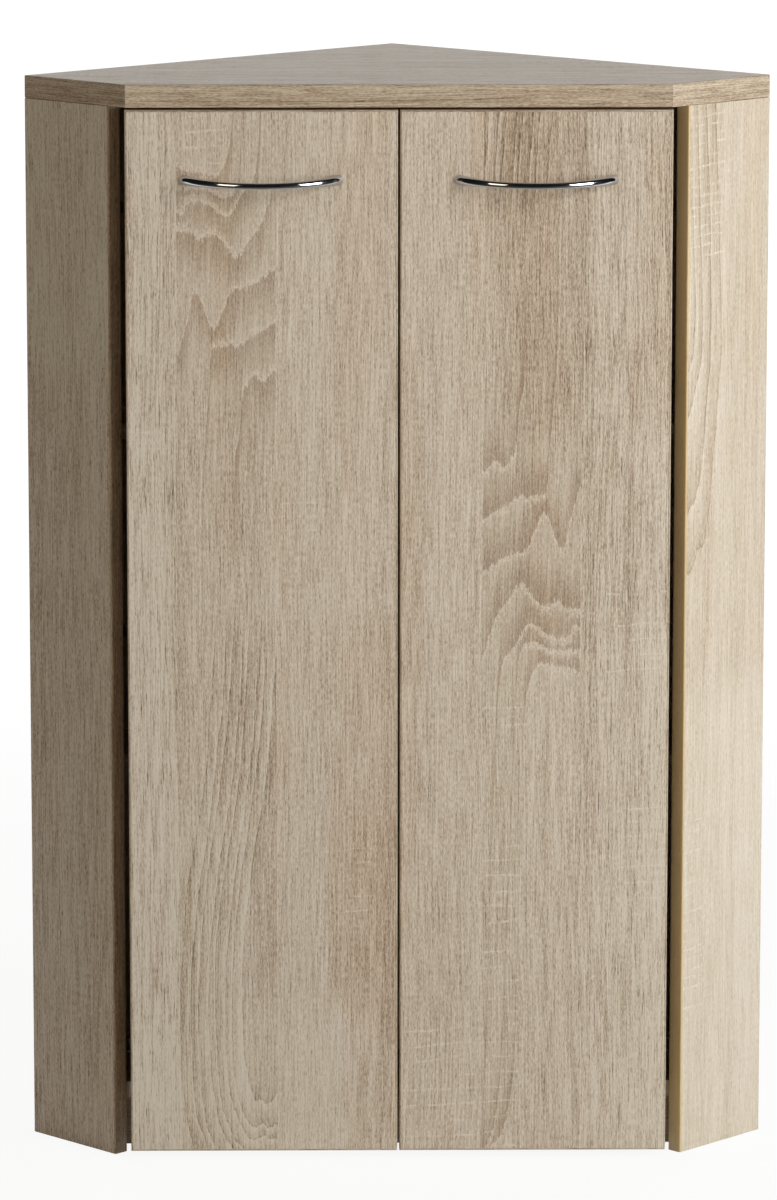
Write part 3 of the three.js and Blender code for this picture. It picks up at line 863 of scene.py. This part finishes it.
def makeTopStrips():
    low, high = boxOf("top_edging_front")
    sideLow, sideHigh = boxOf("top_edging_left")
    board = high[2] - low[2]
    wall = [[sideLow[0], sideHigh[1]], [-sideLow[0], sideHigh[1]]]
    front = [[low[0], low[1]], [high[0], low[1]]]
    paths = {
        "left": ([wall[0], *front], (True, False)),
        "front": ([wall[0], *front, wall[1]], (False, False)),
        "right": ([*front, wall[1]], (False, True)),
    }
    for end, (path, square) in paths.items():
        name, node = "top_%s_strip" % end, "top_edging_" + end
        makeStrip(name, node, path, board, (0, 0, low[2]), *flatPlane, square=square)


def makeStraightStrip(name, node):
    low, high = boxOf(node)
    path = [[low[0], low[1]], [high[0], low[1]]]
    origin = (0, 0, low[2])
    makeStrip(name, node, path, high[2] - low[2], origin, *flatPlane, square=(True, True))


def makeDoorStrip(side):
    node, body = side + "_door_edging", side + "_door"
    low, high = boxOf(node)
    wide, deep, tall = high - low
    path = [[0, 0], [wide, 0], [wide, tall], [0, tall]]
    origin = (low[0], high[1], low[2])
    makeStrip(body + "_strip", node, path, deep, origin, *frontPlane, body=body, closed=True)


# The front corner on the inner face of a side panel with its strip, the direction out of its front
# edge, and its height
def sideCorner(side):
    low, high = boxOf(side + "_side_panel")
    inner = high[0] if side == "left" else low[0]
    out = np.array([-hands[side] * half, -half, 0])
    corner = np.array([inner, low[1] + strips["board"] * half, low[2]])
    return corner + out * (strips["glueLine"] + strips["thickness"]), out, high[2] - low[2]


def makeSideStrip(side):
    corner, out, tall = sideCorner(side)
    if side == "right":
        corner = corner + np.array([half, -half, 0]) * strips["board"]
    makeStrip(
        side + "_side_strip",
        side + "_side_edging",
        [[0, 0], [0, tall]],
        strips["board"],
        corner,
        out,
        (0, 0, 1),
        square=(True, True),
        finish=side + "Strip",
    )


makeTopStrips()
for board in ["bottom_panel", "lower_shelf", "upper_shelf"]:
    makeStraightStrip(board + "_strip", board + "_edging")
for side in hands:
    makeDoorStrip(side)
    makeSideStrip(side)
print("edging strips made")

# The handles
handle = {
    "reach": 36.4 * mm,  # of the centre line at the middle
    "halfChord": 83 * mm,
    "projection": 40 * mm,
    "midHeight": 7 * mm,
    "footHeight": 11.4 * mm,
    "footThickness": 8 * mm,
    "flare": 2.6,
    "droop": 3 * mm,  # of the middle below the feet
    "lift": 0.3 * mm,  # of the feet off the door's face
    "steps": 121,
    "sides": 40,
}


# A bow: an arc that meets the door at both ends. Its section is an ellipse whose height and
# thickness grow with a power of the distance from the middle; each line along it ends on the door.
def makeHandle(side, c=handle):
    middle = middleOf(side + "_handle")
    face = boxOf(side + "_door_edging")[0][1]
    radius = (c["halfChord"] ** 2 + c["reach"] ** 2) / (2 * c["reach"])
    turn = np.arange(c["sides"]) / c["sides"] * 2 * np.pi
    footRadius = radius + c["footThickness"] / 2 * np.cos(turn)
    end = np.arccos((c["lift"] + radius - c["reach"]) / footRadius)
    share = np.linspace(-1, 1, c["steps"])[:, None]
    flare = np.abs(share) ** c["flare"]
    midThickness = 2 * (c["projection"] - c["reach"])
    tall = (c["midHeight"] + (c["footHeight"] - c["midHeight"]) * flare) / 2
    thick = (midThickness + (c["footThickness"] - midThickness) * flare) / 2
    angle = share * end[None, :]
    out = radius + thick * np.cos(turn)
    points = np.stack(
        [
            middle[0] + out * np.sin(angle),
            face - (c["reach"] - radius + out * np.cos(angle)),
            middle[2] + tall * np.sin(turn) - c["droop"] * (1 - share**2) + 0 * angle,
        ],
        axis=-1,
    )
    piece = gridPiece(side + "_bow", points, chrome, side + "_door")
    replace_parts(piece, side + "_handle")


for side in hands:
    makeHandle(side)
print("handles made")

# The hinges' and handles' screws, and the shelf pins. Each screw: its head's radius and height in
# millimetres, how far it sits off the face, and where, in millimetres from the front corner or the
# door's edge and up from the hinge's middle.
fittings = {
    "screwHeads": {"steps": 48, "rings": 15, "inmost": 0.02, "crown": 0.5 * mm, "edge": 0.4 * mm},
    "recess": {"arm": 0.62, "wide": 0.13, "soft": 0.07, "depth": 1.0 * mm},  # shares of the radius
    "handleScrew": {"head": (4.5, 2.7), "off": 0.3},
    "shank": {"profile": [(0, -20), (1.9, -20), (1.9, 0.4), (0, 0.4)], "steps": 24},
    "flangeScrew": {"head": (3.8, 2.6), "off": 0.3, "at": (32, 22.5)},
    "plateScrew": {"head": (4.2, 2.2), "off": 3.2, "at": [(-37, 16), (-37, -16)]},
    "armScrew": {"head": (4.2, 1.9), "off": 12.3, "at": [(-44, 0), (-14, 0)]},
    "pin": {
        "profile": [
            *[(0, -9.5), (2.1, -9.5), (2.4, -9.1), (2.4, 0.3), (3.7, 0.3), (4, 0.6), (4, 1.2)],
            *[(3.7, 1.5), (3, 1.5), (3, 6.6), (2.75, 7.3), (2.1, 7.8), (0, 7.8)],
        ],
        "steps": 32,
        "fromFront": 58 * mm,
        "fromBack": 132 * mm,
    },
}


# An axis, and two directions square to it
def squareTo(axis):
    axis = np.array(axis, float)
    first = np.cross(axis, [0, 0, 1.0])
    first = first / np.linalg.norm(first)
    return axis, first, np.cross(axis, first)


# A turned piece: its profile of radii and heights goes round an axis from a centre. The heights may
# change on the way round.
def turnedPiece(name, centre, axis, radii, heights, steps, finish, slot, body):
    axis, first, second = squareTo(axis)
    turn = np.arange(steps) / steps * 2 * np.pi
    radii, heights = np.array(radii)[:, None], np.array(heights)
    if heights.ndim == 1:
        heights = heights[:, None] + 0 * turn
    points = (
        np.array(centre)
        + (radii * np.cos(turn))[..., None] * first
        + (radii * np.sin(turn))[..., None] * second
        + heights[..., None] * axis
    )
    return gridPiece(name, points, finish, body)


def makeTurned(name, node, centre, axis, kind, body):
    c = fittings[kind]
    radii, heights = np.array(c["profile"]).T * mm
    args = (name, centre, axis, radii, heights, c["steps"], zinc, "fittings_zinc", body)
    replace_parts(turnedPiece(*args), node)


# 1 where a length is less than a limit, 0 past it, smooth between
def inside(length, limit, soft):
    t = np.clip((length - limit) / soft, 0, 1)
    return 1 - t * t * (3 - 2 * t)


# A screw head: a crown that falls with the square of the radius, and a cross recess, which is two
# crossed arms sunk by a depth with smooth sides
def makeScrewHead(name, centre, axis, kind, finish, slot, body):
    c, r = fittings["screwHeads"], fittings["recess"]
    radius, height = np.array(fittings[kind]["head"]) * mm
    share = np.linspace(1, c["inmost"], c["rings"])
    share[0] = 1 - c["edge"] / radius * 0.3
    radii = np.concatenate([[1, 1], share]) * radius
    crown = height - c["crown"] * share**2 - c["edge"] * (share > 0.97)
    heights = np.concatenate([[0, height - 2 * c["edge"] - c["crown"]], crown])
    turn = np.arange(c["steps"]) / c["steps"] * 2 * np.pi
    across, up = np.abs(radii[:, None] / radius * np.stack([np.cos(turn), np.sin(turn)])[:, None])
    arms = [
        inside(long, r["arm"], r["soft"]) * inside(wide, r["wide"], r["soft"])
        for long, wide in [(across, up), (up, across)]
    ]
    heights = heights[:, None] - r["depth"] * np.maximum(*arms)
    base = np.array(centre) + np.array(axis) * fittings[kind]["off"] * mm
    return turnedPiece(name, base, axis, radii, heights, c["steps"], finish, slot, body)


def makeHandleScrews(side):
    body = side + "_door"
    back = boxOf(side + "_door_edging")[1][1]
    for end in ["outer", "inner"]:
        node = side + "_handle_screw_" + end
        across, none, level = middleOf(node)
        centre = [across, back, level]
        name = side + "_" + end + "_screw_head"
        args = (name, centre, (0, 1, 0), "handleScrew", zinc, "fittings_zinc", body)
        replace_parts(makeScrewHead(*args), node)
        makeTurned(name + "_shank", node, centre, (0, 1, 0), "shank", body)


def makeHingeScrews(side):
    hand = hands[side]
    low, high = boxOf(side + "_door_edging")
    doorEdge = low[0] if side == "left" else high[0]
    corner, ahead, tall = sideCorner(side)
    off = (-hand * half, half, 0)  # away from the side panel's inner face
    for place in ["lower", "middle", "upper"]:
        level = middleOf("%s_%s_hinge_cup" % (side, place))[2]
        along, apart = fittings["flangeScrew"]["at"]
        for end, share in [("upper", 1), ("lower", -1)]:
            centre = [doorEdge - hand * along * mm, high[1], level + share * apart * mm]
            name = "%s_%s_flange_%s_screw" % (side, place, end)
            args = (centre, (0, 1, 0), "flangeScrew", nickel, "hinge_nickel", side + "_door")
            makeScrewHead(name, *args)
        for kind in ["plateScrew", "armScrew"]:
            for i, (along, up) in enumerate(fittings[kind]["at"]):
                centre = [*(corner + ahead * along * mm)[:2], level + up * mm]
                name = "%s_%s_%s_%s" % (side, place, kind, "ab"[i])
                makeScrewHead(name, centre, off, kind, nickel, "hinge_nickel", "carcass")


# The pins stand in the side panels, some way from the front corner, and in the back panels, some
# way from the corner behind
def makePins(side, c=fittings["pin"]):
    hand = hands[side]
    corner = sideCorner(side)[0]
    backCorner = np.array([0, boxOf("left_back_panel")[1][1] - strips["board"] / half, 0])
    places = {
        "front": (corner + np.array([hand, 1, 0]) * half * c["fromFront"], 1),
        "back": (backCorner + np.array([hand, -1, 0]) * half * c["fromBack"], -1),
    }
    for end, (at, way) in places.items():
        for shelf in ["lower", "upper"]:
            node = "%s_%s_pin_%s" % (side, end, shelf)
            centre = [*at[:2], middleOf(node)[2]]
            axis = (-hand * half, way * half, 0)
            makeTurned(node + "_turned", node, centre, axis, "pin", "carcass")


for side in hands:
    makeHandleScrews(side)
    makeHingeScrews(side)
    makePins(side)
print("screws and pins made")

# The boards that stay as they are, by finish
boards = {
    "leftDoor": ["left_door_panel"],
    "rightDoor": ["right_door_panel"],
    "left": ["left_side_panel", "right_back_panel"],
    "right": ["right_side_panel", "left_back_panel"],
    "lying": ["top_panel", "lower_shelf", "upper_shelf"],
    "bottom": ["bottom_panel"],
    "rail": ["plinth_rail"],
}


def dress(node, finish):
    slots = nodes[node].material_slots
    if not slots:
        nodes[node].data.materials.append(finish)
    for slot in slots:
        slot.material = finish


for kind, names in boards.items():
    for node in names:
        dress(node, oakFinishes[kind])


pressedEdges = {"join": 1e-5, "width": 0.2 * mm, "segments": 2, "angle": 50}


# The hinges' loose triangles are joined, and their edges take a small round
def easeEdges(node, c=pressedEdges):
    join = nodes[node].modifiers.new("join", "WELD")
    join.merge_threshold = c["join"]
    ease = nodes[node].modifiers.new("ease", "BEVEL")
    ease.width = c["width"]
    ease.segments = c["segments"]
    ease.limit_method = "ANGLE"
    ease.angle_limit = np.radians(c["angle"])


for node in nodes:
    if "hinge_cup" in node or "hinge_arm" in node:
        dress(node, nickel)
        easeEdges(node)
    elif "link" in node:
        dress(node, zinc)
        easeEdges(node)
    elif "pin" in node or "screw" in node:
        dress(node, zinc)
print("boards and fittings finished")

# Room and light. A lamp stands at an angle round from the front, to the right, and up, in degrees;
# its level is what it adds on a surface that faces it.
studio = {
    "floorPaint": paint(214, 214, 212),
    "floorWhite": 1.06,
    "floorGlow": 0.86,  # near the cupboard; it rises to 1 between two distances
    "floorFades": (1.3, 3.6),
    "floorReach": 40,
    "screen": {
        "radius": 4.6,
        "low": 0.02,
        "high": 3.2,
        "over": 0.6,  # past the middle of the cupboard, overhead
        "clear": 0.4,  # in front of it, on the floor
        "reach": 105,
        "steps": 43,
        "paint": paint(54, 55, 57),
        "clothPaint": paint(104, 103, 100),
    },
    "ambient": 0.03,
    "lamps": {
        "key": {
            "at": 51,
            "up": 16,
            "away": 3.2,
            "size": (1.3, 1.9),
            "level": 0.75,
            "tint": (0.985, 0.99, 1),
        },
        "fill": {
            "at": -38,
            "up": 24,
            "away": 3.2,
            "size": (1.0, 1.9),
            "level": 0.135,
            "tint": (1, 0.85, 0.68),
        },
        "rearRight": {
            "at": 140,
            "up": 20,
            "away": 3.4,
            "size": (1.2, 1.6),
            "level": 0.33,
            "tint": (1, 1, 1),
        },
        "rearLeft": {
            "at": -140,
            "up": 20,
            "away": 3.4,
            "size": (1.2, 1.6),
            "level": 0.25,
            "tint": (1, 1, 1),
        },
    },
    "aim": (0, -0.1, 0.62),
}


def makeLamp(name, c):
    turn, up = np.radians([c["at"], c["up"]])
    away = np.array([np.sin(turn) * np.cos(up), -np.cos(turn) * np.cos(up), np.sin(up)])
    data = bpy.data.lights.new(name, "AREA")
    data.shape = "RECTANGLE"
    data.size, data.size_y = c["size"]
    data.energy = np.pi**2 * c["away"] ** 2 * c["level"]
    data.color = c["tint"]
    lamp = bpy.data.objects.new(name, data)
    lamp.location = (np.array(studio["aim"]) + away * c["away"]).tolist()
    lamp.rotation_euler = (np.pi / 2 - up, 0, turn)
    bpy.context.scene.collection.objects.link(lamp)


# A level sheet, between a near and a far place
def flatSheet(wide, near, far, level):
    corners = [(-wide, near, level), (wide, near, level), (wide, far, level), (-wide, far, level)]
    return corners, [(0, 1, 2, 3)]


def stagePiece(name, points, faces, finish):
    mesh = bpy.data.meshes.new(name)
    mesh.from_pydata(points, [], faces)
    mesh.materials.append(finish)
    piece = bpy.data.objects.new(name, mesh)
    bpy.context.scene.collection.objects.link(piece)
    return piece


def makeFloor():
    f = Finish("studioFloor")
    seen = f.node("LightPath", outlet="Is Camera Ray")
    for kind in ["Glossy", "Transmission"]:
        seen = seen.most(f.node("LightPath", outlet="Is %s Ray" % kind))
    paper = f.node("BsdfDiffuse", values={"Color": studio["floorPaint"]})
    white = f.node("Emission", values={"Color": (1, 1, 1, 1), "Strength": studio["floorWhite"]})
    x, y, z = f.axes(f.place())
    far = (x * x + y * y).root().step(*studio["floorFades"])
    glow = far * (1 - studio["floorGlow"]) + studio["floorGlow"]
    mixed = f.node("MixShader", values={0: seen * glow, 1: paper, 2: white})
    f.node("OutputMaterial", values={"Surface": mixed})
    reach = studio["floorReach"]
    stagePiece("floor", *flatSheet(reach, -reach, reach, 0), f.material)


# Dark screens that only glossy surfaces see: part of a drum behind the camera, a board overhead
# and a cloth on the floor
def makeScreens(c):
    finishes = {}
    for name, colour in [("darkScreen", c["paint"]), ("darkCloth", c["clothPaint"])]:
        f = Finish(name)
        cover = f.node("BsdfDiffuse", values={"Color": colour})
        f.node("OutputMaterial", values={"Surface": cover})
        finishes[name] = f.material
    turn = np.radians(np.linspace(-c["reach"], c["reach"], c["steps"]))
    radius = c["radius"]
    foot = np.stack([radius * np.sin(turn), -radius * np.cos(turn), 0 * turn + c["low"]], axis=1)
    head = foot + [0, 0, c["high"] - c["low"]]
    i = np.arange(c["steps"] - 1)
    faces = np.stack([i, i + 1, i + 1 + c["steps"], i + c["steps"]], axis=1)
    drum = (np.concatenate([foot, head]).tolist(), faces.tolist())
    board = flatSheet(radius, -radius, c["over"], c["high"])
    cloth = flatSheet(radius, -radius, -c["clear"], c["low"])
    screens = [
        stagePiece("darkScreen", *drum, finishes["darkScreen"]),
        stagePiece("darkBoard", *board, finishes["darkScreen"]),
        stagePiece("darkCloth", *cloth, finishes["darkCloth"]),
    ]
    for screen in screens:
        screen.visible_camera = False
        screen.visible_diffuse = False
        screen.visible_transmission = False
        screen.visible_shadow = False


# White where the camera, gloss and glass see it, and a dim light for everything else
def makeWorld():
    world = bpy.data.worlds.new("studio")
    world.use_nodes = True
    tree = world.node_tree
    tree.nodes.clear()
    path = tree.nodes.new("ShaderNodeLightPath")
    seen = path.outputs["Is Camera Ray"]
    for key in ["Is Glossy Ray", "Is Transmission Ray"]:
        most = tree.nodes.new("ShaderNodeMath")
        most.operation = "MAXIMUM"
        tree.links.new(seen, most.inputs[0])
        tree.links.new(path.outputs[key], most.inputs[1])
        seen = most.outputs[0]
    mix = tree.nodes.new("ShaderNodeMixShader")
    tree.links.new(seen, mix.inputs[0])
    for i, strength in [(1, studio["ambient"]), (2, 1.0)]:
        back = tree.nodes.new("ShaderNodeBackground")
        back.inputs["Color"].default_value = (1, 1, 1, 1)
        back.inputs["Strength"].default_value = strength
        tree.links.new(back.outputs[0], mix.inputs[i])
    out = tree.nodes.new("ShaderNodeOutputWorld")
    tree.links.new(mix.outputs[0], out.inputs["Surface"])
    bpy.context.scene.world = world


for name, lamp in studio["lamps"].items():
    makeLamp(name, lamp)
makeFloor()
makeScreens(studio["screen"])
makeWorld()
bpy.context.scene.view_settings.view_transform = "Standard"
print("studio made")
